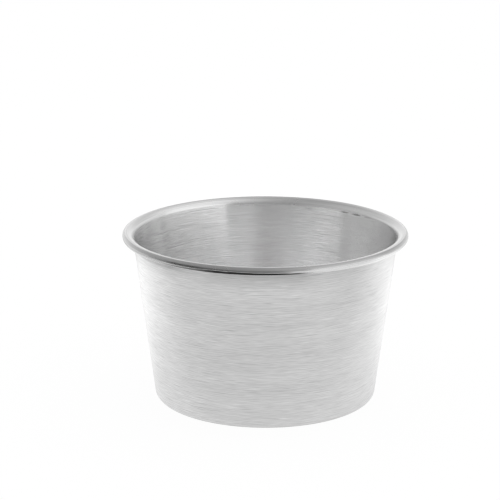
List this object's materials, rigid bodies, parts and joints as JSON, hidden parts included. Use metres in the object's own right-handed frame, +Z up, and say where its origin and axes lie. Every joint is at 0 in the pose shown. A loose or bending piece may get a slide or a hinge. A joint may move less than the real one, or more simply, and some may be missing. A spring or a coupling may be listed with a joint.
{
  "type": "panettone mould",
  "caption": "Round tapered baking mould spun from aluminium sheet, open at the top with a rolled rim, and a loose printed card disc that lifts out.",
  "frame": {"origin": "centre of the underside, on the surface that the mould stands on", "axes": "+Z up along the mould's axis, out of its mouth; X and Y are alike, because the mould is round"},
  "size_m": [0.2, 0.2, 0.12],
  "materials": {
    "aluminium": "spun, satin, with fine lines round the axis",
    "card": "printed, semi-gloss"
  },
  "bodies": {
    "mould": {"mould_shell": "aluminium"},
    "card": {"card_disc": "card"}
  },
  "joints": [
    {"name": "card_lift", "type": "slide", "parent": "mould", "child": "card", "axis": [0, 0, 1], "range_m": [0, 0.14]}
  ]
}
